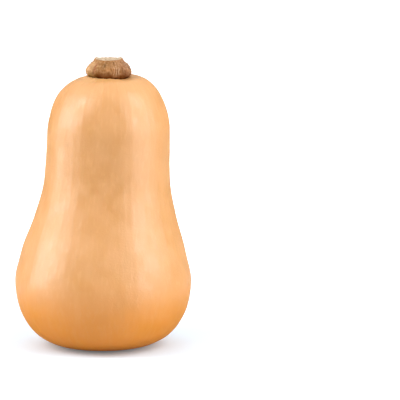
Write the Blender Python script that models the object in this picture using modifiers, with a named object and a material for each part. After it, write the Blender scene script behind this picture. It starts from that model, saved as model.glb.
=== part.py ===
# Whole butternut squash, standing on its blossom end, with its cut corky stem.
# Metres, +Z up. The origin is the point of the floor under the middle of the bulb.

import math

import bpy
import numpy as np

# Driving dimensions of the fruit
FRUIT_HEIGHT = 0.1902  # floor to the brim of skin round the stem
BULB_RADIUS = 0.0617
BULB_LEVEL = 0.0460  # height of the bulb's widest ring
NECK_RADIUS = 0.0429
NECK_LEVEL = 0.1400  # middle of the straight neck
FOOT_RADIUS = 0.0180  # edge of the flat ring that the fruit stands on
SCAR_RADIUS = 0.0070  # blossom scar, in a dimple inside that ring
SCAR_DEPTH = 0.0020
SEAT_RADIUS = 0.0125  # shallow seat in the top, where the stem grows out
SEAT_DEPTH = 0.0014

# Departures of the real fruit from a turned shape
NECK_LEAN = 0.0045  # the neck stands this far to +X of the bulb
LEAN_FROM = 0.0460
LEAN_TO = 0.1650
DEPTH_RATIO = 0.975  # front to back, against side to side
RIB_COUNT = 10
RIB_HEIGHT = 0.00012
RIB_DRIFT = 0.5  # how unevenly the ribs are spread, in radians of one rib
RIB_PHASE = 0.8
PUCKER_COUNT = 5  # soft folds of the skin that run in under the stem
PUCKER_HEIGHT = 0.0005
PUCKER_PHASE = 0.9
PUCKER_REACH = 0.0240  # how far down from the brim the folds fade out
HUMP_HEIGHT = 0.0019  # one shoulder stands a little higher beside the stem
HUMP_AT = (0.0156, 0.0080)  # from the stem's axis
HUMP_SPREAD = 0.0055
SEAT_TILT = -0.047  # the stem's seat slopes down by this share towards +X
SHOULDER_TILT = 0.027  # and the shoulders round it slope up
TILT_FROM = 0.0145  # from the stem's axis, where the one slope starts to turn into the other
TILT_TO = 0.0215

# Driving dimensions of the stem
STEM_GAP = 0.0003  # between the stem's underside and its seat
STEM_HEIGHT = 0.0127  # brim of skin to the cut rim
STEM_RADIUS = 0.0149  # flared foot, between the ridges
CUT_RADIUS = 0.0085  # cut face, between the ridges
CUT_DISH = 0.0013  # the dried pith sinks this far below the rim
RIDGE_HEIGHT = 0.0016  # an average ridge
RIDGE_LOSS = 0.45  # share of its height that a ridge loses on its way up
RIM_PEAK = 0.0006  # the cut stands this much above its mean level at its two sides
RIM_WIDTH = 0.45  # how far round each of them spreads, as a sine of the azimuth
CUT_TILT = 0.0003  # and the cut slopes down by this much to the front

# Ridges of the stem: azimuth and half-width in degrees, height against RIDGE_HEIGHT
RIDGES = (
    (203, 20, 1.10),
    (247, 11, 0.70),
    (281, 8, 0.50),
    (303, 8, 0.70),
    (340, 17, 1.10),
    (27, 15, 0.85),
    (68, 17, 1.00),
    (112, 16, 0.90),
    (156, 15, 0.85),
)

# Fineness of the solids
FRUIT_SEGMENTS = 54
STEM_SEGMENTS = 72
FRUIT_STEPS = 3  # rings for each stretch of the outline
STEM_STEPS = 2
WELD = 0.00001

SKIN_COLOUR = (0.84, 0.48, 0.20)
SKIN_ROUGHNESS = 0.45
CORK_COLOUR = (0.36, 0.20, 0.10)
CORK_ROUGHNESS = 0.85


def clear_scene():
    for obj in list(bpy.data.objects):
        bpy.data.objects.remove(obj)


def smooth_curve(stations, steps):
    """Points on a curve through the stations: each stretch is a cubic between the slopes at its ends."""
    points = np.array(stations, float)
    chords = np.linalg.norm(np.diff(points, axis=0), axis=1)[:, None]
    runs = np.diff(points, axis=0) / chords
    between = (runs[:-1] * chords[1:] + runs[1:] * chords[:-1]) / (chords[1:] + chords[:-1])
    slopes = np.vstack([runs[:1], between, runs[-1:]])
    t = np.linspace(0, 1, steps, endpoint=False)[:, None]
    start = 2 * t**3 - 3 * t**2 + 1
    leave = t**3 - 2 * t**2 + t
    arrive = t**3 - t**2
    curve = [
        start * points[i]
        + leave * chords[i] * slopes[i]
        + (1 - start) * points[i + 1]
        + arrive * chords[i] * slopes[i + 1]
        for i in range(len(chords))
    ]
    return np.vstack(curve + [points[-1:]])


def fruit_outline():
    """Radius and height down the mean outline, from the stem's seat to the blossom scar."""
    seat = FRUIT_HEIGHT - SEAT_DEPTH
    waist = NECK_LEVEL - BULB_LEVEL
    dome = FRUIT_HEIGHT - NECK_LEVEL
    return [
        (0.0, seat),
        (0.70 * SEAT_RADIUS, seat),
        (SEAT_RADIUS, seat + 0.25 * SEAT_DEPTH),
        (1.20 * SEAT_RADIUS, FRUIT_HEIGHT - 0.30 * SEAT_DEPTH),
        (0.44 * NECK_RADIUS, FRUIT_HEIGHT - 0.022 * dome),
        (0.58 * NECK_RADIUS, FRUIT_HEIGHT - 0.048 * dome),
        (0.75 * NECK_RADIUS, FRUIT_HEIGHT - 0.160 * dome),
        (0.89 * NECK_RADIUS, FRUIT_HEIGHT - 0.350 * dome),
        (0.98 * NECK_RADIUS, FRUIT_HEIGHT - 0.620 * dome),
        (NECK_RADIUS, NECK_LEVEL),
        (1.035 * NECK_RADIUS, BULB_LEVEL + 0.725 * waist),
        (1.145 * NECK_RADIUS, BULB_LEVEL + 0.500 * waist),
        (0.920 * BULB_RADIUS, BULB_LEVEL + 0.240 * waist),
        (BULB_RADIUS, BULB_LEVEL),
        (0.929 * BULB_RADIUS, 0.510 * BULB_LEVEL),
        (0.768 * BULB_RADIUS, 0.200 * BULB_LEVEL),
        (0.566 * BULB_RADIUS, 0.052 * BULB_LEVEL),
        (FOOT_RADIUS, 0.0),
        (0.78 * FOOT_RADIUS, -0.20 * SCAR_DEPTH),
        (0.60 * FOOT_RADIUS, 0.0),
        (SCAR_RADIUS, 0.72 * SCAR_DEPTH),
        (0.0, SCAR_DEPTH),
    ]


def stem_outline():
    """Radius and height above the brim of skin, from the cut face down the flank to the underside."""
    return [
        (0.0, STEM_HEIGHT - CUT_DISH),
        (0.62 * CUT_RADIUS, STEM_HEIGHT - 0.80 * CUT_DISH),
        (0.93 * CUT_RADIUS, STEM_HEIGHT - 0.10 * CUT_DISH),
        (1.00 * CUT_RADIUS, STEM_HEIGHT - 0.10 * CUT_DISH),
        (1.22 * CUT_RADIUS, 0.83 * STEM_HEIGHT),
        (0.83 * STEM_RADIUS, 0.68 * STEM_HEIGHT),
        (0.96 * STEM_RADIUS, 0.50 * STEM_HEIGHT),
        (1.00 * STEM_RADIUS, 0.25 * STEM_HEIGHT),
        (1.00 * STEM_RADIUS, 0.10 * STEM_HEIGHT),
        (0.95 * STEM_RADIUS, 0.03 * STEM_HEIGHT),
        (0.98 * SEAT_RADIUS, STEM_GAP - 0.60 * SEAT_DEPTH),
        (0.68 * SEAT_RADIUS, STEM_GAP - SEAT_DEPTH),
        (0.0, STEM_GAP - SEAT_DEPTH),
    ]


def fade(value, start, end):
    """0 before start, 1 after end, and a smooth step between them."""
    t = np.clip((value - start) / (end - start), 0, 1)
    return t * t * (3 - 2 * t)


def shoulder(x, y):
    """How far the uneven top lifts the skin, beside the stem's axis: two slopes and one higher shoulder."""
    away = (x - HUMP_AT[0]) ** 2 + (y - HUMP_AT[1]) ** 2
    hump = HUMP_HEIGHT * np.exp(-away / (2 * HUMP_SPREAD**2))
    turn = fade(np.hypot(x, y), TILT_FROM, TILT_TO)
    return hump + (SEAT_TILT + (SHOULDER_TILT - SEAT_TILT) * turn) * x


def shape_fruit(x, y, z):
    """The turned fruit given its ribs, its puckered top, its leaning neck and the flat that it stands on."""
    radius, azimuth = np.hypot(x, y), np.arctan2(y, x)
    wave = np.cos(RIB_COUNT * azimuth + RIB_DRIFT * np.sin(2 * azimuth + RIB_PHASE))
    ribs = RIB_HEIGHT * wave * fade(radius, SEAT_RADIUS, NECK_RADIUS)
    grown = 1 + ribs / np.maximum(radius, SEAT_RADIUS)
    top = fade(z, FRUIT_HEIGHT - PUCKER_REACH, FRUIT_HEIGHT)
    out = fade(radius, SEAT_RADIUS, 1.6 * SEAT_RADIUS)
    pucker = PUCKER_HEIGHT * np.cos(PUCKER_COUNT * azimuth + PUCKER_PHASE) * top * out
    z = z + pucker + shoulder(x, y) * top
    lean = NECK_LEAN * fade(z, LEAN_FROM, LEAN_TO)
    return x * grown + lean, y * grown * DEPTH_RATIO, np.maximum(z, 0)


def ridge_share(azimuth):
    """Sum of the ridges at an azimuth, each a bell across its width, against an average ridge."""
    total = np.zeros_like(azimuth)
    for centre, width, share in RIDGES:
        turn = (azimuth - math.radians(centre) + math.pi) % (2 * math.pi) - math.pi
        total += share * np.exp(-((turn / math.radians(width)) ** 2))
    return total


def shape_stem(x, y, z):
    """The turned stem given its ridges and set on its seat. z counts from the brim of skin."""
    radius, azimuth = np.hypot(x, y), np.arctan2(y, x)
    ridges = ridge_share(azimuth)
    up = z / STEM_HEIGHT
    outside = fade(radius, 0.60 * CUT_RADIUS, CUT_RADIUS)
    flank = fade(up, 0.02, 0.25) * (1 - RIDGE_LOSS * fade(up, 0.45, 0.90)) * outside
    grown = 1 + RIDGE_HEIGHT * ridges * flank / np.maximum(radius, 0.5 * CUT_RADIUS)
    corners = 2 * np.exp(-((np.sin(azimuth) / RIM_WIDTH) ** 2)) - 1
    rim = RIM_PEAK * corners + CUT_TILT * np.sin(azimuth)
    peak = rim * fade(up, 0.80, 1.00) * outside
    settle = shoulder(x, y) * (1 - fade(up, 0.0, 0.5))
    return x * grown + NECK_LEAN, y * grown, z + peak + settle + FRUIT_HEIGHT


def make_turned(name, stations, steps, segments, shape, collection):
    """An object turned about Z from an outline, with its points then moved by a formula."""
    outline = smooth_curve(stations, steps)
    profile = bpy.data.meshes.new(name + "_outline")
    points = [(max(radius, 0.0), 0.0, height) for radius, height in outline]
    profile.from_pydata(points, [(i, i + 1) for i in range(len(points) - 1)], [])
    obj = bpy.data.objects.new(name, profile)
    collection.objects.link(obj)
    screw = obj.modifiers.new("Turn", "SCREW")
    screw.axis = "Z"
    screw.steps = segments
    screw.render_steps = segments
    screw.use_merge_vertices = True
    screw.merge_threshold = WELD
    screw.use_smooth_shade = True
    graph = bpy.context.evaluated_depsgraph_get()
    turned = bpy.data.meshes.new_from_object(obj.evaluated_get(graph))
    obj.modifiers.clear()
    obj.data = turned
    bpy.data.meshes.remove(profile)
    turned.name = name
    where = np.empty(len(turned.vertices) * 3)
    turned.vertices.foreach_get("co", where)
    moved = np.stack(shape(*where.reshape(-1, 3).T), axis=1)
    turned.vertices.foreach_set("co", moved.ravel())
    turned.update()
    return obj


def make_material(name, colour, roughness):
    material = bpy.data.materials.new(name)
    material.use_nodes = True
    shader = material.node_tree.nodes["Principled BSDF"]
    shader.inputs["Base Color"].default_value = (*colour, 1.0)
    shader.inputs["Roughness"].default_value = roughness
    shader.inputs["Metallic"].default_value = 0.0
    return material


def make_fruit(collection):
    fruit = make_turned(
        "fruit", fruit_outline(), FRUIT_STEPS, FRUIT_SEGMENTS, shape_fruit, collection
    )
    fruit.data.materials.append(make_material("skin", SKIN_COLOUR, SKIN_ROUGHNESS))


def make_stem(collection):
    stem = make_turned("stem", stem_outline(), STEM_STEPS, STEM_SEGMENTS, shape_stem, collection)
    stem.data.materials.append(make_material("cork", CORK_COLOUR, CORK_ROUGHNESS))


def build():
    clear_scene()
    collection = bpy.data.collections.new("butternut_squash")
    bpy.context.scene.collection.children.link(collection)
    make_fruit(collection)
    make_stem(collection)


build()
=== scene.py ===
# Butternut squash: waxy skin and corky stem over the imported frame, on a plain pale floor.

import math

import bpy
import numpy as np
from mathutils import Euler, Matrix


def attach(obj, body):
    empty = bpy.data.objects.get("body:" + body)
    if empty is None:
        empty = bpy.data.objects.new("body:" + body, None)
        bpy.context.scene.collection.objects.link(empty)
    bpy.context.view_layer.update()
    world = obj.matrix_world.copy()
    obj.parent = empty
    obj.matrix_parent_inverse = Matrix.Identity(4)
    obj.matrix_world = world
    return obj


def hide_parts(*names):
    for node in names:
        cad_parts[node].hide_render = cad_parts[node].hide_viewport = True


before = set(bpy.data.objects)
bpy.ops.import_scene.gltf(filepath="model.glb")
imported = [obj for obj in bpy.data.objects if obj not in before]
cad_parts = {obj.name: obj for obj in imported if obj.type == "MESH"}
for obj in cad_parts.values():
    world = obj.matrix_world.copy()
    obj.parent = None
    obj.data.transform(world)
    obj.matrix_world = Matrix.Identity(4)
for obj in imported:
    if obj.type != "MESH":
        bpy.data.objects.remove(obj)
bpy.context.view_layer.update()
print("frame loaded:", ", ".join(sorted(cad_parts)))

scene = bpy.context.scene


# 0 before start, 1 after end, and a smooth step between them.
def fade(value, start, end):
    t = np.clip((value - start) / (end - start), 0, 1)
    return t * t * (3 - 2 * t)


# 1 at the centre, falling away as a bell on both sides.
def bell(value, centre, width):
    return np.exp(-(((value - centre) / width) ** 2))


# The same bell round the axis, with its centre and half-width in degrees.
def turnBell(azimuth, centre, width):
    turn = (azimuth - math.radians(centre) + math.pi) % (2 * math.pi) - math.pi
    return bell(turn, 0, math.radians(width))


# Smooth random waves: sines of about one wavelength in many directions, added, from about -1 to 1.
def waves(points, wavelength, seed, count=18):
    random = np.random.default_rng(seed)
    ways = random.normal(size=(count, 3))
    ways /= np.linalg.norm(ways, axis=1, keepdims=True)
    ways /= wavelength * random.uniform(0.75, 1.4, size=(count, 1))
    starts = random.uniform(0, 2 * math.pi, size=count)
    flat = points.reshape(-1, 3) @ (2 * math.pi * ways.T) + starts
    return np.sin(flat).sum(axis=1).reshape(points.shape[:-1]) / math.sqrt(count)


# Points on a curve through the stations: each stretch is a cubic between the slopes at its ends.
def smoothCurve(stations, steps):
    points = np.array(stations, float)
    chords = np.linalg.norm(np.diff(points, axis=0), axis=1)[:, None]
    runs = np.diff(points, axis=0) / chords
    between = (runs[:-1] * chords[1:] + runs[1:] * chords[:-1]) / (chords[1:] + chords[:-1])
    slopes = np.vstack([runs[:1], between, runs[-1:]])
    t = np.linspace(0, 1, steps, endpoint=False)[:, None]
    start = 2 * t**3 - 3 * t**2 + 1
    leave = t**3 - 2 * t**2 + t
    arrive = t**3 - t**2
    curve = [
        start * points[i]
        + leave * chords[i] * slopes[i]
        + (1 - start) * points[i + 1]
        + arrive * chords[i] * slopes[i + 1]
        for i in range(len(chords))
    ]
    return np.vstack(curve + [points[-1:]])


# Rows down an outline, closer together near its ends: radius, height, and the place in the list of stations.
def outlineRows(stations, count, endReach, endCloseness):
    steps = 60
    curve = smoothCurve(stations, steps)
    station = np.arange(len(curve)) / steps
    lengths = np.linalg.norm(np.diff(curve, axis=0), axis=1)
    along = np.concatenate([[0], np.cumsum(lengths)])
    ends = bell(along, 0, endReach) + bell(along, along[-1], endReach)
    closeness = 1 + endCloseness * ends
    spent = np.concatenate([[0], np.cumsum(lengths * (closeness[1:] + closeness[:-1]) / 2)])
    wanted = np.linspace(0, spent[-1], count)
    return [np.interp(wanted, spent, column) for column in (curve[:, 0], curve[:, 1], station)]


# A grid of rows down the outline and columns round the axis, as azimuth, radius, height and station.
def turnedGrid(rows, columns):
    radius, height, station = (column[:, None] + np.zeros(columns) for column in rows)
    azimuth = np.linspace(0, 2 * math.pi, columns, endpoint=False) + 0 * radius
    return azimuth, np.maximum(radius, 0), height, station


# Outward unit normals of a turned grid: its step down the rows crossed with its step round the columns.
def gridNormals(grid):
    down = np.gradient(grid, axis=0)
    across = np.roll(grid, -1, axis=1) - np.roll(grid, 1, axis=1)
    normal = np.cross(down, across)
    return normal / np.maximum(np.linalg.norm(normal, axis=2, keepdims=True), 1e-12)


# The grid moved out along its normals by relief, with both poles set in the middle of their rings.
def raised(grid, relief):
    moved = grid + gridNormals(grid) * relief[:, :, None]
    moved[0] = moved[1].mean(axis=0)
    moved[-1] = moved[-2].mean(axis=0)
    return moved


# A closed mesh from a turned grid: four-sided faces between the rings, and a fan at each pole.
def turnedPiece(name, grid, values):
    rows, columns = grid.shape[:2]
    inner = grid[1:-1].reshape(-1, 3)
    ring = 1 + np.arange(len(inner)).reshape(rows - 2, columns)
    beside = np.roll(ring, -1, axis=1)
    quads = np.stack([ring[:-1], ring[1:], beside[1:], beside[:-1]], axis=-1).reshape(-1, 4)
    last = len(inner) + 1
    top = np.stack([0 * ring[0], ring[0], beside[0]], axis=-1)
    bottom = np.stack([0 * ring[0] + last, beside[-1], ring[-1]], axis=-1)
    mesh = bpy.data.meshes.new(name)
    points = np.vstack([grid[0, :1], inner, grid[-1, :1]])
    mesh.from_pydata(points.tolist(), [], quads.tolist() + top.tolist() + bottom.tolist())
    for key, value in values.items():
        flat = value.reshape(rows * columns, -1)
        kept = np.vstack([flat[:1], flat[columns:-columns], flat[-1:]]).astype(np.float32)
        kind, field = ("FLOAT_VECTOR", "vector") if value.ndim == 3 else ("FLOAT", "value")
        mesh.attributes.new(key, kind, "POINT").data.foreach_set(field, kept.ravel())
    mesh.shade_smooth()
    mesh.validate()
    piece = bpy.data.objects.new(name, mesh)
    scene.collection.objects.link(piece)
    print(f"{name}: {len(mesh.polygons)} faces")
    return piece


# Adds a shader node, sets its options, and gives its sockets numbers, colours or other nodes' outputs.
def addNode(tree, kind, sockets=None, **options):
    node = tree.nodes.new(kind)
    for option, value in options.items():
        setattr(node, option, value)
    places = {socket.name: socket for socket in reversed(node.inputs)}
    places.update({socket.identifier: socket for socket in node.inputs})
    for place, value in (sockets or {}).items():
        if isinstance(value, bpy.types.NodeSocket):
            tree.links.new(value, places[place])
        else:
            places[place].default_value = value
    return node


# Mixes two colours: the first where share is 0, the second where it is 1.
def mixColours(tree, share, first, second):
    sockets = {"Factor_Float": share, "A_Color": first, "B_Color": second}
    return addNode(tree, "ShaderNodeMix", sockets, data_type="RGBA").outputs[2]  # the colour result


# One step of arithmetic on two values, such as ADD or MULTIPLY.
def calculate(tree, way, first, second):
    return addNode(tree, "ShaderNodeMath", {"Value": first, "Value_001": second}, operation=way).outputs[0]


# Takes a value from the range between low and high to another range, in a smooth step.
def mapRange(tree, value, low, high, toLow=0.0, toHigh=1.0):
    sockets = {"Value": value, "From Min": low, "From Max": high, "To Min": toLow, "To Max": toHigh}
    return addNode(tree, "ShaderNodeMapRange", sockets, interpolation_type="SMOOTHSTEP").outputs[0]


# A value that the mesh holds at each of its points.
def readAttribute(tree, name, output="Fac"):
    return addNode(tree, "ShaderNodeAttribute", attribute_name=name).outputs[output]


# A place with its third part scaled by pace: a pattern read there is the longer, the lower pace is.
def paced(tree, place, pace):
    return addNode(tree, "ShaderNodeMapping", {"Vector": place, "Scale": (1.0, 1.0, pace)}).outputs[0]


# Lays colours over a ground one after another, each where its mask times its share says. A mask that
# isn't handed in is read from the mesh.
def layered(tree, colours, ground, layers, masks):
    colour = colours[ground]
    for name, share, towards in layers:
        mask = masks[name] if name in masks else readAttribute(tree, name)
        colour = mixColours(tree, calculate(tree, "MULTIPLY", mask, share), colour, colours[towards])
    return colour


# Sets the shader's own sockets to values that are the same all over the surface.
def setSockets(shader, values):
    for name, value in values.items():
        shader.inputs[name].default_value = value


# An empty shader node group with named sockets: each input is a name, a kind and its usual value.
def startGroup(name, inputs, outputs):
    group = bpy.data.node_groups.new(name, "ShaderNodeTree")
    for title, kind, usual in inputs:
        socket = group.interface.new_socket(name=title, in_out="INPUT", socket_type="NodeSocket" + kind)
        if usual is not None:
            socket.default_value = usual
    for title in outputs:
        group.interface.new_socket(name=title, in_out="OUTPUT", socket_type="NodeSocketFloat")
    return group, group.nodes.new("NodeGroupInput").outputs, group.nodes.new("NodeGroupOutput").inputs


# Soft patches: cloud noise, pushed towards 0 or 1 where it passes the two limits.
def makePatches():
    group, given, out = startGroup(
        "softPatches",
        [("Place", "Vector", None), ("Scale", "Float", 10.0), ("Detail", "Float", 3.0),
         ("Low", "Float", 0.4), ("High", "Float", 0.6)],
        ["Mask"],
    )
    sockets = {"Vector": given["Place"], "Scale": given["Scale"], "Detail": given["Detail"]}
    noise = addNode(group, "ShaderNodeTexNoise", sockets)
    mask = mapRange(group, noise.outputs["Fac"], given["Low"], given["High"])
    group.links.new(mask, out["Mask"])
    return group


# Scattered dots: a round spot in each cell of a scatter, kept only in the share of cells asked for.
def makeDots():
    group, given, out = startGroup(
        "scatteredDots",
        [("Place", "Vector", None), ("Scale", "Float", 200.0),
         ("Radius", "Float", 0.2), ("Share", "Float", 0.5)],
        ["Mask"],
    )
    cells = addNode(group, "ShaderNodeTexVoronoi", {"Vector": given["Place"], "Scale": given["Scale"]})
    inner = calculate(group, "MULTIPLY", given["Radius"], 0.45)  # solid up to here, then it fades
    spot = mapRange(group, cells.outputs["Distance"], inner, given["Radius"], 1.0, 0.0)
    draw = addNode(group, "ShaderNodeSeparateColor", {"Color": cells.outputs["Color"]}).outputs[0]
    chosen = calculate(group, "LESS_THAN", draw, given["Share"])
    group.links.new(calculate(group, "MULTIPLY", spot, chosen), out["Mask"])
    return group


# Fine grain: two cloud noises, one four times finer, added into one height.
def makeGrain():
    group, given, out = startGroup(
        "fineGrain",
        [("Place", "Vector", None), ("Scale", "Float", 400.0), ("Fine Share", "Float", 0.4)],
        ["Height"],
    )
    place, scale = given["Place"], given["Scale"]
    finer = calculate(group, "MULTIPLY", scale, 4.0)
    coarse = addNode(group, "ShaderNodeTexNoise", {"Vector": place, "Scale": scale, "Detail": 2.0})
    fine = addNode(group, "ShaderNodeTexNoise", {"Vector": place, "Scale": finer, "Detail": 1.0})
    share = calculate(group, "MULTIPLY", fine.outputs["Fac"], given["Fine Share"])
    group.links.new(calculate(group, "ADD", coarse.outputs["Fac"], share), out["Height"])
    return group


softPatches = makePatches()
scatteredDots = makeDots()
fineGrain = makeGrain()


# The three patterns as one value each, for a material.
def patches(tree, place, scale, low, high, detail=3.0):
    sockets = {"Place": place, "Scale": scale, "Detail": detail, "Low": low, "High": high}
    return addNode(tree, "ShaderNodeGroup", sockets, node_tree=softPatches).outputs[0]


def dots(tree, place, scale, radius, share):
    sockets = {"Place": place, "Scale": scale, "Radius": radius, "Share": share}
    return addNode(tree, "ShaderNodeGroup", sockets, node_tree=scatteredDots).outputs[0]


def grain(tree, place, scale, fineShare):
    sockets = {"Place": place, "Scale": scale, "Fine Share": fineShare}
    return addNode(tree, "ShaderNodeGroup", sockets, node_tree=fineGrain).outputs[0]


# A material with a Principled shader, as its tree and that shader.
def startMaterial(name):
    material = bpy.data.materials.new(name)
    material.use_nodes = True
    return material, material.node_tree, material.node_tree.nodes["Principled BSDF"]


# The fruit in metres. The first part repeats the solid's own sizes, and the rest is what its skin adds.
fruit = {
    "height": 0.1902,
    "bulbRadius": 0.0617,
    "bulbLevel": 0.0460,
    "neckRadius": 0.0429,
    "neckLevel": 0.1400,
    "footRadius": 0.0180,
    "scarRadius": 0.0070,
    "scarDepth": 0.0020,
    "seatRadius": 0.0125,
    "seatDepth": 0.0014,
    "neckLean": 0.0045,
    "leanFrom": 0.0460,
    "leanTo": 0.1650,
    "depthRatio": 0.975,
    "ribCount": 10,
    "ribHeight": 0.00012,
    "ribDrift": 0.5,
    "ribPhase": 0.8,
    "puckerCount": 5,
    "puckerHeight": 0.0005,
    "puckerPhase": 0.9,
    "puckerReach": 0.0240,
    "humpHeight": 0.0019,
    "humpAt": (0.0156, 0.0080),
    "humpSpread": 0.0055,
    "seatTilt": -0.047,
    "shoulderTilt": 0.027,
    "tiltFrom": 0.0145,
    "tiltTo": 0.0215,
    "rows": 275,
    "columns": 352,
    "endReach": 0.028,  # rows stand closer together this near to the poles
    "endCloseness": 1.6,  # and by this much more
    "dents": 0.00028,  # broad unevenness
    "dentSpacing": 0.060,
    "swells": 0.00010,  # the same, smaller
    "swellSpacing": 0.022,
    "ripples": 0.000025,  # and smaller still
    "rippleSpacing": 0.007,
    "waver": 0.6,  # how far the flutes and folds stray sideways
    "flutes": 0.00006,  # faint lengthwise lines in the skin
    "fluteCounts": (37, 59),
    "folds": 0.00012,  # small folds round the stem
    "foldCounts": (17, 29),
    "foldDrop": 0.010,  # they start this far below the top
    "foldRise": (0.0125, 0.0150),  # deepen between these radii
    "foldFall": (0.0170, 0.0250),  # and die away between these
    "freeHeight": (0.0005, 0.0120),  # relief grows between these heights
    "freeRadius": (0.0100, 0.0180),  # and radii, so the foot and the seat stay as they are
    "underStations": (16.0, 17.5),  # where the underside starts, counted in stations of the outline
    "brimStations": (3.5, 6.0),  # and where the skin round the stem ends
}


# The fruit's outline from the seat under the stem, down the side and round to the blossom scar.
def fruitOutline():
    seat = fruit["height"] - fruit["seatDepth"]
    waist = fruit["neckLevel"] - fruit["bulbLevel"]
    dome = fruit["height"] - fruit["neckLevel"]
    seatRadius, neck, bulb = fruit["seatRadius"], fruit["neckRadius"], fruit["bulbRadius"]
    foot, level = fruit["footRadius"], fruit["bulbLevel"]
    return [
        (0.0, seat),
        (0.70 * seatRadius, seat),
        (seatRadius, seat + 0.25 * fruit["seatDepth"]),
        (1.20 * seatRadius, fruit["height"] - 0.30 * fruit["seatDepth"]),
        (0.44 * neck, fruit["height"] - 0.022 * dome),
        (0.58 * neck, fruit["height"] - 0.048 * dome),
        (0.75 * neck, fruit["height"] - 0.160 * dome),
        (0.89 * neck, fruit["height"] - 0.350 * dome),
        (0.98 * neck, fruit["height"] - 0.620 * dome),
        (neck, fruit["neckLevel"]),
        (1.035 * neck, level + 0.725 * waist),
        (1.145 * neck, level + 0.500 * waist),
        (0.920 * bulb, level + 0.240 * waist),
        (bulb, level),
        (0.929 * bulb, 0.510 * level),
        (0.768 * bulb, 0.200 * level),
        (0.566 * bulb, 0.052 * level),
        (foot, 0.0),
        (0.78 * foot, -0.20 * fruit["scarDepth"]),
        (0.60 * foot, 0.0),
        (fruit["scarRadius"], 0.72 * fruit["scarDepth"]),
        (0.0, fruit["scarDepth"]),
    ]


# How far the uneven top lifts the skin, beside the stem's axis: two slopes and one higher shoulder.
def shoulder(x, y):
    away = (x - fruit["humpAt"][0]) ** 2 + (y - fruit["humpAt"][1]) ** 2
    hump = fruit["humpHeight"] * np.exp(-away / (2 * fruit["humpSpread"] ** 2))
    turn = fade(np.hypot(x, y), fruit["tiltFrom"], fruit["tiltTo"])
    return hump + (fruit["seatTilt"] + (fruit["shoulderTilt"] - fruit["seatTilt"]) * turn) * x


# The turned fruit given its ribs, its puckered top, its leaning neck and the flat that it stands on.
def shapeFruit(azimuth, radius, height):
    wave = np.cos(fruit["ribCount"] * azimuth + fruit["ribDrift"] * np.sin(2 * azimuth + fruit["ribPhase"]))
    ribs = fruit["ribHeight"] * wave * fade(radius, fruit["seatRadius"], fruit["neckRadius"])
    grown = 1 + ribs / np.maximum(radius, fruit["seatRadius"])
    x, y = radius * np.cos(azimuth), radius * np.sin(azimuth)
    top = fade(height, fruit["height"] - fruit["puckerReach"], fruit["height"])
    out = fade(radius, fruit["seatRadius"], 1.6 * fruit["seatRadius"])
    pucker = np.cos(fruit["puckerCount"] * azimuth + fruit["puckerPhase"]) * top * out
    z = height + fruit["puckerHeight"] * pucker + shoulder(x, y) * top
    lean = fruit["neckLean"] * fade(z, fruit["leanFrom"], fruit["leanTo"])
    return np.stack([x * grown + lean, y * grown * fruit["depthRatio"], np.maximum(z, 0)], axis=-1)


# Relief of the skin: waves at three sizes, lengthwise flutes of two counts, and folds that run in
# under the stem.
def skinRelief(azimuth, radius, height, grid):
    waver = fruit["waver"] * waves(grid, fruit["dentSpacing"], seed=11)
    few, many = fruit["fluteCounts"]
    flutes = 0.6 * np.sin(few * azimuth + 2 * waver) + 0.4 * np.sin(many * azimuth - 3 * waver)
    few, many = fruit["foldCounts"]
    folds = np.cos(few * azimuth + 3 * waver) + 0.6 * np.cos(many * azimuth - 2 * waver)
    nearStem = fade(height, fruit["height"] - fruit["foldDrop"], fruit["height"])
    nearStem = nearStem * fade(radius, *fruit["foldRise"]) * (1 - fade(radius, *fruit["foldFall"]))
    dents = fruit["dents"] * waves(grid, fruit["dentSpacing"], seed=3)
    swells = fruit["swells"] * waves(grid, fruit["swellSpacing"], seed=4)
    ripples = fruit["ripples"] * waves(grid, fruit["rippleSpacing"], seed=5)
    free = fade(height, *fruit["freeHeight"]) * fade(radius, *fruit["freeRadius"])
    return (dents + swells + ripples + fruit["flutes"] * flutes) * free + fruit["folds"] * folds * nearStem


# The skin: the outline turned round the axis, shaped as the solid is, and moved out by its relief.
def makeFruit():
    rows = outlineRows(fruitOutline(), fruit["rows"], fruit["endReach"], fruit["endCloseness"])
    azimuth, radius, height, station = turnedGrid(rows, fruit["columns"])
    plain = shapeFruit(azimuth, radius, height)
    grid = raised(plain, skinRelief(azimuth, radius, height, plain))
    grid[:, :, 2] = np.maximum(grid[:, :, 2], 0)  # nothing reaches below the floor
    under = fade(station, *fruit["underStations"])
    values = {
        "lengthwise": np.stack([np.cos(azimuth), np.sin(azimuth), height], axis=-1),
        "scar": under * (1 - fade(radius, 0.5 * fruit["scarRadius"], 1.1 * fruit["scarRadius"])),
        "nearStem": (1 - fade(station, *fruit["brimStations"])) * (1 - under),
    }
    return turnedPiece("squashSkin", grid, values)


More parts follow.
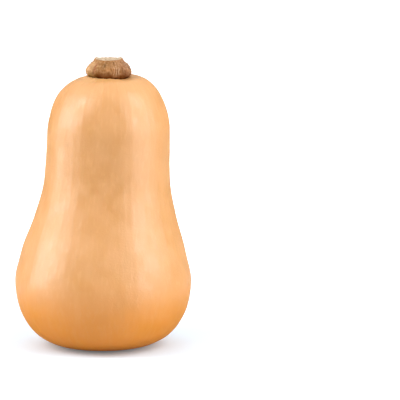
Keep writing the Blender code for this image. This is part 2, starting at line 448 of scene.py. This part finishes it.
skinLook = {
    "colours": {
        "tan": (0.668, 0.306, 0.080, 1.0),
        "paleTan": (0.74, 0.365, 0.125, 1.0),
        "orange": (0.77, 0.266, 0.004, 1.0),
        "streak": (0.78, 0.40, 0.15, 1.0),
        "freckle": (0.56, 0.27, 0.09, 1.0),
        "scar": (0.24, 0.13, 0.06, 1.0),
        "brim": (0.70, 0.45, 0.20, 1.0),
    },
    "patterns": {  # patches: scale, the two limits of their noise, and its detail where it isn't 3
        "blush": (16.0, 0.36, 0.66),
        "mottle": (85.0, 0.36, 0.68),
        "streaks": (15.0, 0.50, 0.72, 2.0),
        "dashes": (26.0, 0.50, 0.70, 2.0),
        "freckles": (300.0, 0.16, 0.30),  # dots: scale, radius, and the share of cells that have one
        "grain": (700.0, 0.5),  # grain: scale, and the share of the finer noise
    },
    "streakPace": 2.5,  # how fast the pattern changes along the fruit, so streaks are long
    "dashPace": 6.0,  # and dashes shorter
    "orangeBand": (0.064, 0.018),  # heights between which the skin turns orange
    "shoulderRise": (0.060, 0.074),  # a paler band on the bulb's shoulder, a painted highlight where light from above falls, starts between these
    "shoulderFall": (0.104, 0.080),  # and ends between these
    "dashShares": (0.28, 0.08),  # how strong dashes are on the tan, and on the orange
    "layers": (  # what lies over the tan, in order: mask, share, colour
        ("blush", 0.45, "paleTan"),
        # painted highlight: a paler band on the bulb's shoulder
        ("shoulderPaintedHighlight", 0.5, "paleTan"),
        ("mottle", 0.35, "paleTan"),
        ("low", 0.9, "orange"),
        ("streaks", 0.10, "streak"),
        ("dashes", 1.0, "streak"),
        ("freckles", 0.25, "freckle"),
        ("nearStem", 0.25, "brim"),
        ("scar", 1.0, "scar"),
    ),
    "roughness": (0.42, 0.56),  # between the mottles and on them
    "freckleHeight": 0.4,  # against the grain
    "dashHeight": 0.3,
    "bump": {"Strength": 0.25, "Distance": 0.0004},
    "shader": {
        "IOR": 1.90,
        "Subsurface Weight": 0.12,
        "Subsurface Radius": (1.0, 0.45, 0.18),
        "Subsurface Scale": 0.004,
    },
}


# The waxy skin: tan, paler in patches and in a painted highlight on the bulb's shoulder, orange at the low
# end, with streaks, dashes and freckles.
def makeSkin():
    material, tree, shader = startMaterial("waxySkin")
    place = addNode(tree, "ShaderNodeTexCoord").outputs["Object"]
    height = addNode(tree, "ShaderNodeSeparateXYZ", {"Vector": place}).outputs["Z"]
    lengthwise = readAttribute(tree, "lengthwise", "Vector")
    patterns = skinLook["patterns"]
    mottle = patches(tree, place, *patterns["mottle"])
    dashes = patches(tree, paced(tree, lengthwise, skinLook["dashPace"]), *patterns["dashes"])
    freckles = dots(tree, place, *patterns["freckles"])
    low = mapRange(tree, height, *skinLook["orangeBand"])
    rising = mapRange(tree, height, *skinLook["shoulderRise"])
    falling = mapRange(tree, height, *skinLook["shoulderFall"])
    dashShare = mapRange(tree, low, 0.0, 1.0, *skinLook["dashShares"])
    masks = {
        "blush": patches(tree, place, *patterns["blush"]),
        # painted highlight on the bulb's shoulder, between the two heights
        "shoulderPaintedHighlight": calculate(tree, "MULTIPLY", rising, falling),
        "mottle": mottle,
        "low": low,
        "streaks": patches(tree, paced(tree, lengthwise, skinLook["streakPace"]), *patterns["streaks"]),
        "dashes": calculate(tree, "MULTIPLY", dashes, dashShare),
        "freckles": freckles,
    }
    colour = layered(tree, skinLook["colours"], "tan", skinLook["layers"], masks)
    tree.links.new(colour, shader.inputs["Base Color"])
    tree.links.new(mapRange(tree, mottle, 0.0, 1.0, *skinLook["roughness"]), shader.inputs["Roughness"])

    spots = calculate(tree, "MULTIPLY", freckles, skinLook["freckleHeight"])
    relief = calculate(tree, "ADD", grain(tree, place, *patterns["grain"]), spots)
    raisedDashes = calculate(tree, "MULTIPLY", dashes, skinLook["dashHeight"])
    relief = calculate(tree, "ADD", relief, raisedDashes)
    bump = addNode(tree, "ShaderNodeBump", {**skinLook["bump"], "Height": relief})
    tree.links.new(bump.outputs[0], shader.inputs["Normal"])
    setSockets(shader, skinLook["shader"])
    print("waxy skin: ready")
    return material


# The stem in metres, with the solid's own sizes first.
stem = {
    "gap": 0.0003,
    "height": 0.0127,
    "radius": 0.0149,
    "cutRadius": 0.0085,
    "cutDish": 0.0013,
    "ridgeHeight": 0.0016,
    "ridgeLoss": 0.45,
    "rimPeak": 0.0006,
    "rimWidth": 0.45,
    "cutTilt": 0.0003,
    "ridges": (  # azimuth and half-width in degrees, height against ridgeHeight
        (203, 20, 1.10),
        (247, 11, 0.70),
        (281, 8, 0.50),
        (303, 8, 0.70),
        (340, 17, 1.10),
        (27, 15, 0.85),
        (68, 17, 1.00),
        (112, 16, 0.90),
        (156, 15, 0.85),
    ),
    "rows": 178,
    "columns": 556,
    "endReach": 0.004,  # rows stand closer together this near to the poles
    "endCloseness": 0.4,  # and by this much more
    "sink": 0.0005,  # how far the foot is pressed into the skin
    "sinkReach": 0.0060,  # less and less up to this height
    "alongRadius": 0.0125,  # what runs up the stem is read on a tube of this radius
    "alongPace": 0.16,  # where height counts this much
    "wanderSpacing": 0.0060,  # a slow drift that bends lines
    "folds": 0.00022,  # soft lengthwise folds
    "foldSpacing": 0.0052,
    "fibres": 0.00006,  # and the fibres on them
    "fibreSpacing": 0.0012,
    "fibreWaves": 30,  # how many waves they are made of
    "crackDepth": 0.00024,
    "crackSpacing": 0.0036,
    "crackWidth": 0.11,
    "crackPatches": 0.0070,  # spacing of the patches that have cracks
    "wrinkleDepth": 0.00012,
    "wrinklesAt": (328, 24),  # here and below: azimuth and half-width in degrees
    "wrinkleSlope": 0.00792,  # metres down for each radian round
    "wrinkleDrift": 0.0009,
    "wrinkleSpacing": 0.0021,
    "wrinkleWidth": 0.30,
    "ringDrift": 0.0011,  # level rings, as deep as the wrinkles
    "ringSpacing": 0.0034,
    "ringWidth": 0.20,
    "ringPatches": 0.0050,
    "lumps": 0.00024,
    "lumpSpacing": 0.0048,
    "crumbs": 0.00009,
    "crumbSpacing": 0.0017,
    "creaseAt": (231, 4.2),  # one deep fold on the front, left of the middle
    "creaseDepth": 0.00032,
    "creaseDrift": 0.05,
    "creaseRise": (0.0018, 0.0050),  # it deepens between these heights
    "creaseFall": (0.0085, 0.0115),  # and dies away between these
    "ribsAt": (293, 12),  # narrow pale ribs side by side on the front
    "ribPitch": 7.6,  # degrees from one to the next
    "ribRelief": 0.00012,
    "ribDrift": 0.035,
    "ribRise": (0.0012, 0.0036),
    "ribFall": (0.0060, 0.0090),  # they are less pale above
    "ribGaps": 0.28,  # how much weaker they are in places
    "ribGapSpacing": 0.0038,
    "panelAt": (256, 17),  # smoother cork between the fold and the ribs
    "panelCalm": 0.55,  # how much of its folds and cracks it lacks
    "bulgeAt": (265, 8),  # a low swelling in the middle of the front
    "bulge": 0.00050,
    "pitDepth": 0.00045,
    "paleLobeAt": (210, 17),
    "paleLobeFall": (0.0080, 0.0115),
    "rosyLobeAt": (325, 26),
    "marks": {  # azimuth and half-width in degrees, height and half-height
        "dusk": (259, 7, 0.0080, 0.0022),  # a dark patch by the middle
        "pit": (309, 6, 0.0050, 0.0024),  # a hollow on the right, darkened by painted shade
        "notch": (272, 5, 0.0030, 0.0014),  # and a dark spot low in the middle
        "ash": (338, 12, 0.0085, 0.0034),  # greyer cork on the right
        "glow": (271, 11, 0.0056, 0.0014),  # warmer cork above the dark spot
    },
    "faceGrain": 0.00012,  # relief of the cut face
    "faceGrainSpacing": 0.0016,
    "faceLumps": 0.00016,
    "faceLumpSpacing": 0.0040,
    "faceFibres": 0.00010,
    "faceFibreCount": 22,
    "pithDepth": 0.00050,
    "splitDepth": 0.00035,
    "splitCount": 5,
    "flankStations": (2.9, 3.8),  # where the flank starts, counted in stations of the outline
    "undersideStations": (8.8, 9.8),  # and where it ends
    "cutStations": (2.6, 3.3),  # where the cut face ends
    "footFrom": 0.0004,  # the dark foot, partly its own colour and partly painted shade where the stem meets the skin, fades between these heights
    "footReach": 0.0058,
    "footLoss": 0.0026,  # it reaches less high where the stem is paler
    "palerAt": ((206, 20), (289, 13)),
    "footDrift": 0.0009,
    "linePace": 0.25,  # how fast the lines' pattern changes from one station to the next
}


# The stem's outline from the middle of its dished cut face, down the flank and in under the foot.
def stemOutline():
    height, cut, foot = stem["height"], stem["cutRadius"], stem["radius"]
    dish, gap = stem["cutDish"], stem["gap"]
    seatRadius, seatDepth = fruit["seatRadius"], fruit["seatDepth"]
    return [
        (0.0, height - dish),
        (0.62 * cut, height - 0.80 * dish),
        (0.93 * cut, height - 0.10 * dish),
        (1.00 * cut, height - 0.10 * dish),
        (1.22 * cut, 0.83 * height),
        (0.83 * foot, 0.68 * height),
        (0.96 * foot, 0.50 * height),
        (1.00 * foot, 0.25 * height),
        (1.00 * foot, 0.10 * height),
        (0.95 * foot, 0.03 * height),
        (0.98 * seatRadius, gap - 0.60 * seatDepth),
        (0.68 * seatRadius, gap - seatDepth),
        (0.0, gap - seatDepth),
    ]


# Sum of the ridges at an azimuth, each a bell across its width, against an average ridge.
def ridgeShare(azimuth):
    return sum(share * turnBell(azimuth, centre, width) for centre, width, share in stem["ridges"])


# The turned stem given its ridges and set on its seat, as the solid is.
def shapeStem(azimuth, radius, height):
    ridges = ridgeShare(azimuth)
    up = height / stem["height"]
    outside = fade(radius, 0.60 * stem["cutRadius"], stem["cutRadius"])
    flank = fade(up, 0.02, 0.25) * (1 - stem["ridgeLoss"] * fade(up, 0.45, 0.90)) * outside
    grown = 1 + stem["ridgeHeight"] * ridges * flank / np.maximum(radius, 0.5 * stem["cutRadius"])
    x, y = radius * np.cos(azimuth), radius * np.sin(azimuth)
    corners = 2 * bell(np.sin(azimuth), 0, stem["rimWidth"]) - 1
    rim = stem["rimPeak"] * corners + stem["cutTilt"] * np.sin(azimuth)
    peak = rim * fade(up, 0.80, 1.00) * outside
    settle = shoulder(x, y) * (1 - fade(up, 0.0, 0.5))
    z = height + peak + settle + fruit["height"]
    return np.stack([x * grown + fruit["neckLean"], y * grown, z], axis=-1)


# Relief and colour masks of the stem's flank. Its folds, fibres and cracks are waves taken along the
# stem, so they run up and down it. To these come slanted wrinkles, level rings, one crease, pale ribs,
# a bulge, a pit, lumps and crumbs.
def flankRelief(azimuth, height, plain):
    tube = stem["alongRadius"]
    along = np.stack([tube * np.cos(azimuth), tube * np.sin(azimuth), stem["alongPace"] * height], axis=-1)
    wander = waves(plain, stem["wanderSpacing"], seed=20)
    folds = waves(along, stem["foldSpacing"], seed=21)
    fibres = waves(along, stem["fibreSpacing"], seed=22, count=stem["fibreWaves"])
    cracks = bell(waves(along, stem["crackSpacing"], seed=23), 0, stem["crackWidth"])
    cracks = cracks * fade(waves(plain, stem["crackPatches"], seed=24), -0.1, 0.8)
    slanted = plain[:, :, 2] + stem["wrinkleSlope"] * azimuth + stem["wrinkleDrift"] * wander
    wrinkles = bell(np.sin(math.pi * slanted / stem["wrinkleSpacing"]), 0, stem["wrinkleWidth"])
    wrinkles = wrinkles * turnBell(azimuth, *stem["wrinklesAt"])
    level = height + stem["ringDrift"] * wander
    rings = bell(np.sin(math.pi * level / stem["ringSpacing"]), 0, stem["ringWidth"])
    rings = rings * fade(waves(plain, stem["ringPatches"], seed=25), 0.2, 1.0)
    crease = turnBell(azimuth + stem["creaseDrift"] * wander, *stem["creaseAt"])
    crease = crease * fade(height, *stem["creaseRise"]) * (1 - fade(height, *stem["creaseFall"]))
    fromMiddle = azimuth + stem["ribDrift"] * wander - math.radians(stem["ribsAt"][0])
    whole = fade(waves(plain, stem["ribGapSpacing"], seed=35), -0.5, 0.7)  # 0 in the ribs' weak places
    ribField = turnBell(azimuth, *stem["ribsAt"]) * (1 - stem["ribGaps"] + stem["ribGaps"] * whole)
    ribs = np.cos(360 / stem["ribPitch"] * fromMiddle) * ribField * fade(height, *stem["ribRise"])
    panel = turnBell(azimuth, *stem["panelAt"])
    rough = 1 - stem["panelCalm"] * panel
    marks = {
        name: turnBell(azimuth, centre, width) * bell(height, middle, reach)
        for name, (centre, width, middle, reach) in stem["marks"].items()
    }

    relief = (stem["folds"] * folds + stem["fibres"] * fibres - stem["crackDepth"] * cracks) * rough
    relief = relief + stem["ribRelief"] * ribs + stem["bulge"] * turnBell(azimuth, *stem["bulgeAt"])
    relief = relief - stem["creaseDepth"] * crease - stem["wrinkleDepth"] * (wrinkles + rings)
    relief = relief - stem["pitDepth"] * marks["pit"]
    relief = relief + stem["lumps"] * waves(plain, stem["lumpSpacing"], seed=26)
    relief = relief + stem["crumbs"] * waves(plain, stem["crumbSpacing"], seed=27)

    # painted shade: the colour darkens in the cracks, wrinkles and rings and between the ribs, where shade
    # falls
    grooveShading = 0.75 * cracks * rough + 0.35 * (wrinkles + rings) + 0.2 * fade(-ribs, 0.2, 0.9)
    crests = 0.45 + 0.30 * folds + 0.15 * fibres - 0.3 * panel
    paleLobe = turnBell(azimuth, *stem["paleLobeAt"])
    masks = {
        "grooveShade": np.clip(grooveShading, 0, 1),
        "crest": np.clip(crests, 0, 1),
        "ribs": np.clip(0.2 * ribField + ribs, 0, 1) * (1 - 0.5 * fade(height, *stem["ribFall"])),
        "crease": crease,
        "paleLobe": paleLobe * (1 - 0.6 * fade(height, *stem["paleLobeFall"])),
        "rosyLobe": turnBell(azimuth, *stem["rosyLobeAt"]),
        "dusk": marks["dusk"],
        # painted shade in the hollow on the right, and a dark spot low in the middle
        "pit": marks["pit"] + 0.8 * marks["notch"],
        "ash": marks["ash"],
        "glow": marks["glow"],
    }
    return relief, masks


# The cut face: a ring of fibre ends round a sunken pith, with a few splits that run out from the
# middle, on lumps and a fine grain. The pith and the splits are its colour mask too: painted shade, darker
# where the face is sunken.
def cutRelief(azimuth, radius, plain):
    outward = radius / stem["cutRadius"]
    bent = stem["splitCount"] / 2 * azimuth + 0.5 * waves(plain, 0.004, seed=31)
    splits = bell(np.sin(bent), 0, 0.10) * fade(outward, 0.05, 0.3) * (1 - fade(outward, 0.55, 0.95))
    strayed = stem["faceFibreCount"] * azimuth + waves(plain, 0.003, seed=32)
    fibres = bell(outward, 0.66, 0.10) * np.cos(strayed)
    pith = bell(outward, 0, 0.17)
    relief = stem["faceGrain"] * waves(plain, stem["faceGrainSpacing"], seed=33)
    relief = relief + stem["faceLumps"] * waves(plain, stem["faceLumpSpacing"], seed=34)
    relief = relief + stem["faceFibres"] * fibres - stem["pithDepth"] * pith - stem["splitDepth"] * splits
    return relief, np.clip(pith + splits, 0, 1)


# The stem: the outline turned round the axis, shaped as the solid is, moved out by the relief of its
# flank and its cut face, and pressed a little into the skin.
def makeStem():
    rows = outlineRows(stemOutline(), stem["rows"], stem["endReach"], stem["endCloseness"])
    azimuth, radius, height, station = turnedGrid(rows, stem["columns"])
    plain = shapeStem(azimuth, radius, height)
    flank = fade(station, *stem["flankStations"]) * (1 - fade(station, *stem["undersideStations"]))
    cut = 1 - fade(station, *stem["cutStations"])
    relief, masks = flankRelief(azimuth, height, plain)
    face, hollow = cutRelief(azimuth, radius, plain)
    grid = raised(plain, relief * flank + face * cut)
    grid[:, :, 2] -= stem["sink"] * (1 - fade(height, 0.0, stem["sinkReach"]))
    values = {name: mask * flank for name, mask in masks.items()}
    values["cutFace"] = cut
    # painted shade in the sunken pith and splits of the cut face
    values["hollow"] = hollow * cut
    paler = sum(turnBell(azimuth, centre, width) for centre, width in stem["palerAt"])
    reach = stem["footReach"] - stem["footLoss"] * paler
    drifted = height + stem["footDrift"] * waves(plain, stem["wanderSpacing"], seed=28)
    # the darker foot: partly the cork's own colour, partly painted shade where the stem meets the skin
    values["foot"] = 1 - fade(drifted, stem["footFrom"], reach)
    values["lengthwise"] = np.stack([np.cos(azimuth), np.sin(azimuth), stem["linePace"] * station], axis=-1)
    return turnedPiece("squashStem", grid, values)


corkLook = {
    "colours": {
        "brown": (0.27, 0.115, 0.034, 1.0),
        "tan": (0.44, 0.23, 0.095, 1.0),
        "dark": (0.090, 0.030, 0.006, 1.0),
        "pale": (0.72, 0.43, 0.22, 1.0),
        "rib": (0.68, 0.41, 0.26, 1.0),
        "rosy": (0.40, 0.19, 0.11, 1.0),
        "rust": (0.36, 0.135, 0.030, 1.0),
        "crease": (0.34, 0.110, 0.050, 1.0),
        # dark brown of the foot, partly painted shade where the stem meets the skin
        "foot": (0.13, 0.034, 0.001, 1.0),
        "olive": (0.24, 0.16, 0.005, 1.0),
        "dusk": (0.13, 0.065, 0.022, 1.0),
        "ash": (0.32, 0.19, 0.12, 1.0),
        "glow": (0.57, 0.25, 0.075, 1.0),
        "cut": (0.62, 0.48, 0.34, 1.0),
        "cutFibre": (0.42, 0.29, 0.17, 1.0),
        # dark colour for the painted shade of the sunken pith and splits
        "hollow": (0.18, 0.11, 0.05, 1.0),
    },
    "patterns": {  # patches: scale, the two limits of their noise, and its detail where it isn't 3
        "blotches": (260.0, 0.38, 0.64),
        "rust": (190.0, 0.48, 0.62),
        "speckles": (620.0, 0.42, 0.62),
        "lines": (9.0, 0.42, 0.62, 4.0),
        "faceFibres": (900.0, 0.40, 0.66),
        "flecks": (1100.0, 0.30, 0.35),  # dots: scale, radius, and the share of cells that have one
        "grain": (1500.0, 0.6),  # grain: scale, and the share of the finer noise
    },
    "layers": (  # what lies over the brown, in order: mask, share, colour
        ("blotches", 0.55, "tan"),
        ("rust", 0.55, "rust"),
        ("rosyLobe", 0.6, "rosy"),
        ("crest", 0.35, "tan"),
        ("paleLobe", 0.9, "pale"),
        ("dusk", 0.75, "dusk"),
        ("ash", 0.7, "ash"),
        ("glow", 0.7, "glow"),
        ("ribs", 0.8, "rib"),
        ("speckles", 0.30, "pale"),
        ("lines", 0.35, "brown"),
        ("flecks", 0.30, "dark"),
        # painted shade in the cracks, wrinkles and rings and between the ribs
        ("grooveShade", 0.50, "dark"),
        # painted shade in the pit, and the dark spot
        ("pit", 0.7, "foot"),
        ("crease", 0.7, "crease"),
    ),
    "footShare": 0.95,
    "faceLayers": (  # and over the cut face
        ("faceFibres", 0.45, "cutFibre"),
        # painted shade in the sunken pith and splits
        ("hollow", 0.8, "hollow"),
    ),
    "roughness": (0.72, 0.90),  # between the blotches and on them
    "lineHeight": 0.5,  # against the grain
    "bump": {"Strength": 0.6, "Distance": 0.0003},
    "shader": {"IOR": 1.40, "Specular IOR Level": 0.15},
}


# The corky stem: brown cork with the marks of its flank and painted shade in its grooves and its pit, a
# darker foot that is partly painted shade where it meets the skin, and a pale cut face with painted shade in
# its sunken pith and splits.
def makeCork():
    material, tree, shader = startMaterial("corkyStem")
    place = addNode(tree, "ShaderNodeTexCoord").outputs["Object"]
    colours, patterns = corkLook["colours"], corkLook["patterns"]
    spread = ("blotches", "rust", "speckles", "faceFibres")
    masks = {name: patches(tree, place, *patterns[name]) for name in spread}
    masks["lines"] = patches(tree, readAttribute(tree, "lengthwise", "Vector"), *patterns["lines"])
    masks["flecks"] = dots(tree, place, *patterns["flecks"])
    flank = layered(tree, colours, "brown", corkLook["layers"], masks)

    # the darker foot, partly painted shade where the stem meets the skin, with olive under the pale lobe
    foot = readAttribute(tree, "foot")
    lichen = calculate(tree, "MULTIPLY", readAttribute(tree, "paleLobe"), foot)
    lowest = mixColours(tree, lichen, colours["foot"], colours["olive"])
    flank = mixColours(tree, calculate(tree, "MULTIPLY", foot, corkLook["footShare"]), flank, lowest)

    face = layered(tree, colours, "cut", corkLook["faceLayers"], masks)
    colour = mixColours(tree, readAttribute(tree, "cutFace"), flank, face)
    tree.links.new(colour, shader.inputs["Base Color"])

    rough = mapRange(tree, masks["blotches"], 0.0, 1.0, *corkLook["roughness"])
    tree.links.new(rough, shader.inputs["Roughness"])
    raisedLines = calculate(tree, "MULTIPLY", masks["lines"], corkLook["lineHeight"])
    relief = calculate(tree, "ADD", grain(tree, place, *patterns["grain"]), raisedLines)
    bump = addNode(tree, "ShaderNodeBump", {**corkLook["bump"], "Height": relief})
    tree.links.new(bump.outputs[0], shader.inputs["Normal"])
    setSockets(shader, corkLook["shader"])
    print("corky stem: ready")
    return material


# The camera stands where the photograph's did: level with the front, a little above.
camera = {
    "aim": (0.068, 0.0, 0.103),
    "distance": 2.0,
    "elevation": 8.5,
    "pixelsPerMetre": 1428.6,  # at the aim, on a picture 400 pixels wide
    "imageWidth": 400,
    "sensor": 36.0,
    "clipEnd": 50,
}


# The lens is as long as it takes to show a metre at the aim at the photograph's scale.
def makeCamera():
    lens = camera["sensor"] * camera["pixelsPerMetre"] * camera["distance"] / camera["imageWidth"]
    data = bpy.data.cameras.new("camera")
    data.lens = lens
    data.sensor_width = camera["sensor"]
    data.clip_end = camera["clipEnd"]
    viewer = bpy.data.objects.new("camera", data)
    scene.collection.objects.link(viewer)
    lift = math.radians(camera["elevation"])
    x, y, z = camera["aim"]
    viewer.location = (x, y - camera["distance"] * math.cos(lift), z + camera["distance"] * math.sin(lift))
    viewer.rotation_euler = (math.pi / 2 - lift, 0, 0)
    scene.camera = viewer
    print(f"camera: {lens:.0f} mm lens")


studio = {
    "floorSize": 8.0,
    "floorColour": (0.73, 0.73, 0.73, 1.0),  # as it lights the squash
    "floorNear": (0.765, 0.90, 1.02, 1.0),  # as the camera sees it beside the squash
    "floorFar": (1.60, 1.60, 1.60, 1.0),  # and further off, burnt out to white
    "floorReach": (0.07, 0.50),
    "shadowLift": (0.13, 0.13, 0.13, 1.0),  # what the camera sees even in full shadow
    "noLift": (0.0, 0.0, 0.0, 1.0),
    "mirroredNear": (0.32, 0.27, 0.17, 1.0),  # as the skin mirrors it, warmed by the fruit close by
    "mirroredFar": (0.85, 0.85, 0.85, 1.0),  # further off
    "mirroredDim": (0.30, 0.30, 0.30, 1.0),  # and towards the camera or a room's walls, where it is darker
    "mirrorReach": (0.095, 0.23),
    "frontReach": (-0.10, -0.40),
    "wallReach": (0.45, 0.90),
    "floorSockets": {"Emission Strength": 1.0, "Roughness": 0.9, "Specular IOR Level": 0.0},
    "roomLow": 0.08,  # how strong the light from the room is at the horizon
    "roomHigh": 1.10,  # and straight above
    "backdrop": (1.0, 1.0, 1.0, 1.0),  # what the camera sees behind the floor
    "sideDistance": 1.1,  # of the softboxes, from what they face
    "sideElevation": 24,  # degrees above it
    "aimHeight": 0.10,  # the softboxes face this height above the foot
    "layers": 4,  # each softbox is a stack of ever narrower panels, so its edges are soft
    "layerGap": 0.005,
    "softboxes": {  # azimuth in degrees round from the camera, width and height, power, and roll
        "leftSoftbox": (-79, (0.58, 1.50), 12.9, -18),  # its top leans towards the camera
        "rightSoftbox": (67, (1.00, 1.50), 13.1, 0),
    },
}


# A softbox: a stack of area lamps that face the squash, each narrower and brighter than the last.
def makeLight(name, azimuth, size, power, roll):
    turn, lift = math.radians(azimuth), math.radians(studio["sideElevation"])
    away = np.array([math.sin(turn) * math.cos(lift), -math.cos(turn) * math.cos(lift), math.sin(lift)])
    aim = np.array([0, 0, studio["aimHeight"]])
    shares = (np.arange(studio["layers"]) + 1) / studio["layers"]
    facing = Euler((math.pi / 2 - lift, 0, turn)).to_matrix() @ Matrix.Rotation(math.radians(roll), 3, "Z")
    for layer, share in enumerate(shares):
        data = bpy.data.lights.new(f"{name}{layer}", "AREA")
        data.shape = "RECTANGLE"
        data.size, data.size_y = size[0] * share, size[1]
        data.energy = power * share / shares.sum()
        lamp = bpy.data.objects.new(data.name, data)
        scene.collection.objects.link(lamp)
        lamp.location = away * (studio["sideDistance"] + studio["layerGap"] * layer) + aim
        lamp.rotation_euler = facing.to_euler()
        lamp.visible_camera = False


# The floor: one colour as it lights the squash, another as the camera sees it, a third as the skin
# mirrors it.
def makeFloor():
    half = studio["floorSize"] / 2
    mesh = bpy.data.meshes.new("floor")
    corners = [(-half, -half, 0), (half, -half, 0), (half, half, 0), (-half, half, 0)]
    mesh.from_pydata(corners, [], [(0, 1, 2, 3)])
    floor = bpy.data.objects.new("floor", mesh)
    scene.collection.objects.link(floor)
    material, tree, shader = startMaterial("paleFloor")
    place = addNode(tree, "ShaderNodeTexCoord").outputs["Object"]
    away = addNode(tree, "ShaderNodeVectorMath", {"Vector": place}, operation="LENGTH").outputs["Value"]
    depth = addNode(tree, "ShaderNodeSeparateXYZ", {"Vector": place}).outputs["Y"]
    ray = addNode(tree, "ShaderNodeLightPath").outputs

    farther = mapRange(tree, away, *studio["floorReach"])
    seen = mixColours(tree, farther, studio["floorNear"], studio["floorFar"])
    inFront = mapRange(tree, depth, *studio["frontReach"])
    dim = calculate(tree, "MAXIMUM", inFront, mapRange(tree, away, *studio["wallReach"]))
    mirrored = mixColours(tree, dim, studio["mirroredFar"], studio["mirroredDim"])
    farther = mapRange(tree, away, *studio["mirrorReach"])
    mirrored = mixColours(tree, farther, studio["mirroredNear"], mirrored)
    lit = mixColours(tree, ray["Is Glossy Ray"], studio["floorColour"], mirrored)
    tree.links.new(mixColours(tree, ray["Is Camera Ray"], lit, seen), shader.inputs["Base Color"])
    lifted = mixColours(tree, ray["Is Camera Ray"], studio["noLift"], studio["shadowLift"])
    tree.links.new(lifted, shader.inputs["Emission Color"])
    setSockets(shader, studio["floorSockets"])
    mesh.materials.append(material)


# The room: light that grows from the horizon to straight above, and plain white to the camera.
def makeRoom():
    world = bpy.data.worlds.new("room")
    world.use_nodes = True
    scene.world = world
    tree = world.node_tree
    way = addNode(tree, "ShaderNodeTexCoord").outputs["Generated"]
    up = addNode(tree, "ShaderNodeSeparateXYZ", {"Vector": way}).outputs["Z"]
    low, high = ((level, level, level, 1.0) for level in (studio["roomLow"], studio["roomHigh"]))
    tree.links.new(mixColours(tree, up, low, high), tree.nodes["Background"].inputs["Color"])
    seen = addNode(tree, "ShaderNodeBackground", {"Color": studio["backdrop"], "Strength": 1.0})
    ray = addNode(tree, "ShaderNodeLightPath").outputs["Is Camera Ray"]
    sockets = {"Fac": ray, "Shader": tree.nodes["Background"].outputs[0], "Shader_001": seen.outputs[0]}
    mixed = addNode(tree, "ShaderNodeMixShader", sockets)
    tree.links.new(mixed.outputs[0], tree.nodes["World Output"].inputs["Surface"])
    scene.view_settings.view_transform = "Standard"


# The floor, the softboxes and the room.
def makeStudio():
    makeFloor()
    for name, (azimuth, size, power, roll) in studio["softboxes"].items():
        makeLight(name, azimuth, size, power, roll)
    makeRoom()
    print("studio: floor, two softboxes and light from the room, stronger from above")


makeCamera()
makeStudio()

squashSkin = makeFruit()
squashSkin.data.materials.append(makeSkin())
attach(squashSkin, "root")
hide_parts("fruit")

squashStem = makeStem()
squashStem.data.materials.append(makeCork())
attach(squashStem, "root")
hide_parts("stem")
